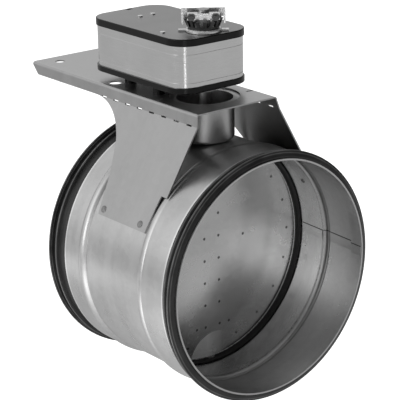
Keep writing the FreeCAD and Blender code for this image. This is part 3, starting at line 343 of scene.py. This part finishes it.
def galvanised(
        name, tone, roughness, rolled=False, streaks=(6, 60, 60), contrast=0.12, painted_reflection_mask=None):
    """Zinc-coated sheet: soft spangle, streaks and uneven gloss, and no metal where a painted
    reflection lies.
    """
    material, tree, shader, place = start_material(name)
    surface = around_duct(tree, place) if rolled else place
    spangle = node(
        tree, "ShaderNodeTexVoronoi", Vector=surface, Scale=SPANGLE_SCALE, Randomness=1.0)
    crystal = node(tree, "ShaderNodeSeparateColor", Color=spangle.outputs["Color"]).outputs["Red"]
    streak = noise(tree, surface, STREAK_SCALE, detail=6.0, stretch=streaks)
    cloud = noise(tree, place, CLOUD_SCALE, detail=4.0)
    tones = calculate(tree, "ADD", swing(tree, streak, 1), swing(tree, cloud, 1))
    tones = calculate(tree, "ADD", tones, swing(tree, crystal, SPANGLE_TONE, 0, 1))
    tones = calculate(tree, "MULTIPLY_ADD", tones, contrast / 2, 1.0)
    base = calculate(tree, "MULTIPLY", tones, value_of(tone, tree, place))
    tree.links.new(grey(tree, base), shader.inputs["Base Color"])
    shader.inputs["Metallic"].default_value = 1.0
    if painted_reflection_mask:
        metallic = calculate(tree, "SUBTRACT", 1.0, painted_reflection_mask(tree, place))
        tree.links.new(metallic, shader.inputs["Metallic"])
    uneven = swing(tree, cloud, CLOUD_GLOSS), swing(tree, streak, STREAK_GLOSS)
    gloss = calculate(tree, "ADD", *uneven)
    gloss = calculate(tree, "ADD", gloss, swing(tree, crystal, SPANGLE_GLOSS, 0, 1))
    gloss = calculate(tree, "ADD", gloss, value_of(roughness, tree, place))
    tree.links.new(gloss, shader.inputs["Roughness"])
    waves = noise(tree, place, WAVE_SCALE, detail=1.0)
    height = calculate(tree, "ADD", calculate(tree, "MULTIPLY", streak, STREAK_HEIGHT), waves)
    bump(tree, shader, height, WAVE_DEPTH, WAVE_STRENGTH)
    return material


def faces_axis(tree, place):
    """1 on a wall that faces the duct's axis, 0 on one that faces away from it."""
    normal = tree.nodes.new("ShaderNodeTexCoord").outputs["Normal"]
    flat = vector_math(tree, "MULTIPLY", place, (1, 0, 1))
    away = vector_math(tree, "DOT_PRODUCT", flat, normal, "Value")
    return calculate(tree, "LESS_THAN", away, 0.0)


def inside_tube(tree, place):
    """1 on the tube's inner wall between the beads, 0 outside."""
    along = calculate(tree, "ABSOLUTE", coordinate(tree, place, "Y"))
    near = between(tree, along, 1, 0, *MIDDLE_END)
    return calculate(tree, "MULTIPLY", near, faces_axis(tree, place))


def in_groove(tree, place):
    """1 in the hollow of the two beads, seen from inside the tube, where painted shade darkens it.
    """
    along = calculate(tree, "ABSOLUTE", coordinate(tree, place, "Y"))
    beside = calculate(tree, "ABSOLUTE", calculate(tree, "SUBTRACT", along, BEAD_PLACE))
    near = between(tree, beside, 1, 0, *BEAD_FADE)
    return calculate(tree, "MULTIPLY", near, faces_axis(tree, place))


def shoulder_highlight(tree, place):
    """1 on the edge of each spigot, where it steps down to the seal: a painted highlight."""
    along = coordinate(tree, place, "Y")
    front = between(tree, along, 1, 0, -SHOULDER_FRONT, SHOULDER_WIDTH - SHOULDER_FRONT)
    rear = between(tree, along, 0, 1, SHOULDER_REAR - SHOULDER_WIDTH, SHOULDER_REAR)
    outside = between(tree, from_axis(tree, place), 0, 1, *SPIGOT_RISE)
    return calculate(tree, "MULTIPLY", calculate(tree, "ADD", front, rear), outside)


def tube_tone(tree, place):
    """Painted light makes the bore paler than outside; painted shade darkens the beads' hollows,
    and a painted highlight brightens the shoulders.
    """
    # painted light: the bore paler than the outside
    tone = blend(tree, inside_tube(tree, place), TUBE_TONE, BORE_PAINTED_LIGHT_TONE)
    tone = blend(tree, shoulder_highlight(tree, place), tone, SHOULDER_PAINTED_HIGHLIGHT)
    return blend(tree, in_groove(tree, place), tone, GROOVE_PAINTED_SHADE)


def tube_roughness(tree, place):
    """Smoother in the bore than outside."""
    return blend(tree, inside_tube(tree, place), TUBE_ROUGHNESS, BORE_ROUGHNESS)


def foot_painted_reflection(tree, place):
    """A painted reflection on the blade's foot, pale and without metal: a sharp arc on the left
    that fades to the right.
    """
    apart = from_axis(tree, vector_math(tree, "SUBTRACT", place, FOOT_MIDDLE))
    reach = between(tree, apart, 1, 0, *FOOT_REACH)
    fade = between(tree, coordinate(tree, place, "X"), 1, 0, *FOOT_FADE)
    return calculate(tree, "MULTIPLY", reach, fade)


def blade_tone(tree, place):
    """Darker where the disc is pressed in, painted highlights, and a painted reflection on its
    foot.
    """
    depth = calculate(tree, "ABSOLUTE", coordinate(tree, place, "Y"))
    pressed = between(tree, depth, 1, 0, *PRESSED_DEPTH)
    painted_sheen = BLADE_TONE
    # painted highlights: soft paler spots on the blade's face
    for middle, size, gain in BLADE_PAINTED_HIGHLIGHTS:
        spot = soft_spot(tree, place, middle, size)
        painted_sheen = calculate(tree, "MULTIPLY_ADD", spot, gain, painted_sheen)
    tone = blend(tree, pressed, painted_sheen, PRESSED_TONE)
    return blend(tree, foot_painted_reflection(tree, place), tone, FOOT_PAINTED_REFLECTION_TONE)


def rubber(name, tone, roughness):
    """Black rubber with a bloom that lightens it unevenly, and a painted highlight on its lips'
    crests.
    """
    material, tree, shader, place = start_material(name)
    surface = around_duct(tree, place)
    bloom = noise(tree, surface, BLOOM_SCALE, detail=6.0, roughness=0.65, stretch=BLOOM_STRETCH)
    grain = noise(tree, place, RUBBER_GRAIN_SCALE, detail=2.0)
    away = from_axis(tree, place)
    crest = between(tree, away, 0, 1, *OUTER_CREST)
    rise = between(tree, away, 0, 1, *RIB_RISE)
    rib = calculate(tree, "MULTIPLY", rise, between(tree, away, 1, 0, *RIB_FALL))
    # painted highlight: the lips' crests paler
    crest_highlight = calculate(tree, "MULTIPLY_ADD", calculate(tree, "ADD", crest, rib), CREST_HIGHLIGHT_GAIN, 1.0)
    tones = between(tree, bloom, *[tone * share for share in BLOOM_TONES])
    base = calculate(tree, "MULTIPLY", tones, crest_highlight)
    gloss = between(tree, bloom, roughness - BLOOM_GLOSS, roughness + BLOOM_GLOSS)
    tree.links.new(grey(tree, base), shader.inputs["Base Color"])
    tree.links.new(gloss, shader.inputs["Roughness"])
    bump(tree, shader, grain, RUBBER_GRAIN_DEPTH, RUBBER_GRAIN_STRENGTH)
    return material


def plastic(name, colour, roughness, specular=0.5):
    """Moulded plastic with a fine spark-eroded grain."""
    material, tree, shader, place = start_material(name)
    cloud = noise(tree, place, SHADE_SCALE, detail=3.0)
    grain = noise(tree, place, PLASTIC_GRAIN_SCALE, detail=2.0)
    shade = between(tree, cloud, 0, 1)
    mixed = node(tree, "ShaderNodeMix", {"data_type": "RGBA"}, Factor=shade)
    for end, share in zip("AB", SHADE_TONES):
        mixed.inputs[end].default_value = [part * share for part in colour] + [1]
    gloss = between(tree, cloud, roughness - SHADE_GLOSS, roughness + SHADE_GLOSS)
    tree.links.new(mixed.outputs["Result"], shader.inputs["Base Color"])
    tree.links.new(gloss, shader.inputs["Roughness"])
    shader.inputs["Specular IOR Level"].default_value = specular
    bump(tree, shader, grain, PLASTIC_GRAIN_DEPTH, PLASTIC_GRAIN_STRENGTH)
    return material


def brushed(name, tone, roughness, stretch):
    """Metal with fine brush lines that run along the axes with the smaller stretch."""
    material, tree, shader, place = start_material(name)
    lines = noise(tree, place, BRUSH_SCALE, detail=6.0, roughness=0.7, stretch=stretch)
    haze = noise(tree, place, HAZE_SCALE, detail=3.0)
    tones = calculate(tree, "ADD", swing(tree, lines, BRUSH_TONE), swing(tree, haze, HAZE_TONE))
    tones = calculate(tree, "MULTIPLY_ADD", tones, tone, tone)
    gloss = between(tree, lines, roughness - BRUSH_GLOSS, roughness + BRUSH_GLOSS)
    tree.links.new(grey(tree, tones), shader.inputs["Base Color"])
    tree.links.new(gloss, shader.inputs["Roughness"])
    shader.inputs["Metallic"].default_value = 1.0
    bump(tree, shader, lines, BRUSH_DEPTH, BRUSH_STRENGTH)
    return material


def paint(material, *names):
    """Gives a material to the slots of CAD nodes."""
    for name in names:
        target = nodes[name]
        if not target.material_slots:
            target.data.materials.append(material)
        for slot in target.material_slots:
            slot.material = material


def named(word):
    """The nodes whose names have a word in them."""
    return [name for name in nodes if word in name]


def paint_sheets():
    """The tube, the cup, the console with its rivets, and the blade; gives the tube's finish."""
    tube = galvanised("tube_zinc", tube_tone, tube_roughness, rolled=True, streaks=(1, 14, 1))
    flat = galvanised(
        "console_zinc", FLAT_TONE, FLAT_ROUGHNESS, streaks=(3, 14, 3), contrast=0.08)
    cup = galvanised("cup_zinc", CUP_TONE, CUP_ROUGHNESS, streaks=(14, 14, 1))
    clinch = galvanised("clinch_zinc", CLINCH_TONE, CLINCH_ROUGHNESS)
    # the blade's finish carries painted highlights and a painted reflection on its foot
    disc = galvanised(
        "blade_zinc", blade_tone, BLADE_ROUGHNESS, streaks=(3, 3, 10), painted_reflection_mask=foot_painted_reflection)
    paint(tube, "duct_body")
    paint(cup, "neck_cup")
    paint(flat, "console")
    paint(clinch, *named("rivet"))
    paint(disc, "blade_front_disc", "blade_rear_disc", "blade_frame_left", "blade_frame_right")
    return tube


def paint_mouldings():
    """Rubber and plastic pieces."""
    seal = rubber("seal_rubber", SEAL_TONE, RUBBER_ROUGHNESS)
    lip = rubber("lip_rubber", LIP_TONE, RUBBER_ROUGHNESS)
    black = plastic("black_plastic", (0.003, 0.003, 0.003), roughness=0.2, specular=0.3)
    bush = plastic("bush_plastic", (0.62, 0.6, 0.55), roughness=0.45)
    board = plastic("board_resin", (0.03, 0.13, 0.06), roughness=0.4)
    paint(seal, "front_seal", "rear_seal")
    paint(lip, "blade_seal")
    paint(black, "actuator_base", "lower_trim", "upper_trim", "cable_gland", "terminal_block")
    paint(black, *named("mount_post"))
    paint(bush, *named("bush"))
    paint(board, "circuit_board")


def paint_metals():
    """Turned, stamped and brushed metal; gives the dark and the bright finish."""
    cover = brushed("cover_metal", COVER_TONE, roughness=0.45, stretch=(30, 1, 1))
    sleeve = brushed("sleeve_metal", SLEEVE_TONE, roughness=0.16, stretch=(1, 1, 40))
    bright = brushed("bright_zinc", tone=0.8, roughness=0.28, stretch=(10, 10, 1))
    dark = brushed("dark_steel", tone=0.12, roughness=0.35, stretch=(1, 1, 8))
    steel = brushed("steel", tone=0.45, roughness=0.4, stretch=(1, 1, 20))
    paint(cover, "top_cover")
    paint(sleeve, "housing_sleeve")
    paint(bright, "clamp_yoke", "hub_collar", "clamp_jaw", "output_hub", *named("cover_screw"))
    paint(dark, "clamp_crown", *named("clamp_nut"), *named("clamp_stud"))
    paint(
        steel, "shaft", "output_sector", "first_gear", "second_gear", "motor_pinion",
        "first_axle", "second_axle", "motor_axle", "gear_deck", "motor_can", "motor_rotor",
        *named("mount_screw"))
    return dark, bright


def wall_point(y, z, inward):
    """A point on the tube's inner wall at its right side, moved towards the axis."""
    found, spot, _, _ = nodes["duct_body"].ray_cast(Vector((0, y, z)), Vector((1, 0, 0)))
    if not found:
        raise RuntimeError("no wall beside the seam")
    toward = Vector((-spot.x, 0, -spot.z)).normalized()
    return spot + toward * inward


def join_rows(made, row, after):
    """Faces around a strip or a ring, from one row of corners to the next."""
    count = len(row)
    for k in range(count):
        beside = (k + 1) % count
        made.faces.new((row[k], row[beside], after[beside], after[k]))


def finish_mesh(made, name):
    """Turns a built mesh into an object of the scene."""
    mesh = bpy.data.meshes.new(name)
    made.to_mesh(mesh)
    made.free()
    piece = bpy.data.objects.new(name, mesh)
    bpy.context.scene.collection.objects.link(piece)
    return piece


def add_band(name, material, top_drop, low_drop, top_step, low_step):
    """A thin closed strip on the wall that runs along the seam."""
    made = bmesh.new()
    rows = []
    for number in range(SEAM_STATIONS):
        share = number / (SEAM_STATIONS - 1)
        y = SEAM_START[0] + (SEAM_END[0] - SEAM_START[0]) * share
        z = SEAM_START[1] + (SEAM_END[1] - SEAM_START[1]) * share
        top, low = z - top_drop, z - low_drop
        corners = [(top, -SEAM_SKIN), (top, top_step), (low, low_step), (low, -SEAM_SKIN)]
        rows.append([made.verts.new(wall_point(y, height, inward)) for height, inward in corners])
    for row, after in zip(rows, rows[1:]):
        join_rows(made, row, after)
    made.faces.new(rows[0][::-1])
    made.faces.new(rows[-1])
    bmesh.ops.recalc_face_normals(made, faces=made.faces)
    strip = finish_mesh(made, name)
    strip.data.materials.append(material)
    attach(strip, "housing")


def add_seam(tube, dark):
    """The lap of the rolled tube: a dark strip of painted shade along the joint, and the raised
    edge below it.
    """
    # painted shade: a dark strip along the joint
    add_band("seam_shade_line", dark, -SEAM_SHADE_LINE, 0, SEAM_SKIN, SEAM_SKIN)
    add_band("seam_lap", tube, 0, SEAM_LAP, SEAM_STEP, SEAM_FEATHER)


def add_blade_edge(material):
    """The turned-up edge of the blade's front sheet, a thin bright ring in the rubber rim."""
    low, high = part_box("blade_front_disc")
    made = bmesh.new()
    rows = []
    for number in range(EDGE_STEPS):
        angle = 2 * math.pi * number / EDGE_STEPS
        row = []
        for corner in range(EDGE_SIDES):
            turn = 2 * math.pi * corner / EDGE_SIDES
            radius = high.x - EDGE_INSET + EDGE_RADIUS * math.cos(turn)
            y = low.y + EDGE_RADIUS * math.sin(turn)
            row.append(made.verts.new((radius * math.sin(angle), y, radius * math.cos(angle))))
        rows.append(row)
    for row, after in zip(rows, rows[1:] + rows[:1]):
        join_rows(made, row, after)
    bmesh.ops.recalc_face_normals(made, faces=made.faces)
    for face in made.faces:
        face.smooth = True
    ring = finish_mesh(made, "blade_edge")
    ring.data.materials.append(material)
    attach(ring, "blade")


def add_floor():
    """A pale floor, large enough to fill the view, and clear from below."""
    made = bmesh.new()
    bmesh.ops.create_grid(made, x_segments=2, y_segments=2, size=FLOOR_HALF)
    floor = finish_mesh(made, "floor")
    floor.location.z = floor_level - FLOOR_DROP
    material, tree, shader, place = start_material("floor_paper")
    cloud = noise(tree, place, FLOOR_CLOUD_SCALE)
    tree.links.new(grey(tree, between(tree, cloud, *FLOOR_TONES)), shader.inputs["Base Color"])
    shader.inputs["Roughness"].default_value = FLOOR_ROUGHNESS
    shader.inputs["Specular IOR Level"].default_value = 0.0
    glow = FLOOR_GLOW
    for spot, size, gain in PATCHES:
        patch = soft_spot(tree, place, (*spot, 0), size)
        glow = calculate(tree, "MULTIPLY_ADD", patch, gain, glow)
    seen = node(tree, "ShaderNodeLightPath").outputs["Is Camera Ray"]
    tree.links.new(blend(tree, seen, glow, FLOOR_SEEN), shader.inputs["Emission Strength"])
    shader.inputs["Emission Color"].default_value = (1, 1, 1, 1)
    below = node(tree, "ShaderNodeNewGeometry").outputs["Backfacing"]
    clear = node(tree, "ShaderNodeBsdfTransparent").outputs[0]
    mixed = node(tree, "ShaderNodeMixShader", i0=below, i1=shader.outputs[0], i2=clear)
    tree.links.new(mixed.outputs[0], tree.nodes["Material Output"].inputs["Surface"])
    floor.data.materials.append(material)


def add_light():
    """Plain soft studio light: a dim room with soft lights, mostly on the left and behind."""
    world = bpy.data.worlds.new("studio")
    world.use_nodes = True
    tree = world.node_tree
    toward = tree.nodes.new("ShaderNodeTexCoord").outputs["Generated"]
    total = AMBIENT
    for direction, sharpness, gain in LOBES:
        facing = vector_math(
            tree, "DOT_PRODUCT", toward, Vector(direction).normalized(), "Value")
        lobe = calculate(tree, "POWER", calculate(tree, "MAXIMUM", facing, 0.0), sharpness)
        total = calculate(tree, "ADD", calculate(tree, "MULTIPLY", lobe, gain), total)
    seen = node(tree, "ShaderNodeLightPath").outputs["Is Camera Ray"]
    shown = blend(tree, seen, total, FLOOR_SEEN)
    tree.links.new(grey(tree, shown), tree.nodes["Background"].inputs["Color"])
    bpy.context.scene.world = world


bpy.context.scene.view_settings.view_transform = "Standard"
add_camera()
tube_finish = paint_sheets()
paint_mouldings()
dark_finish, bright_finish = paint_metals()
add_seam(tube_finish, dark_finish)
add_blade_edge(bright_finish)
add_floor()
add_light()
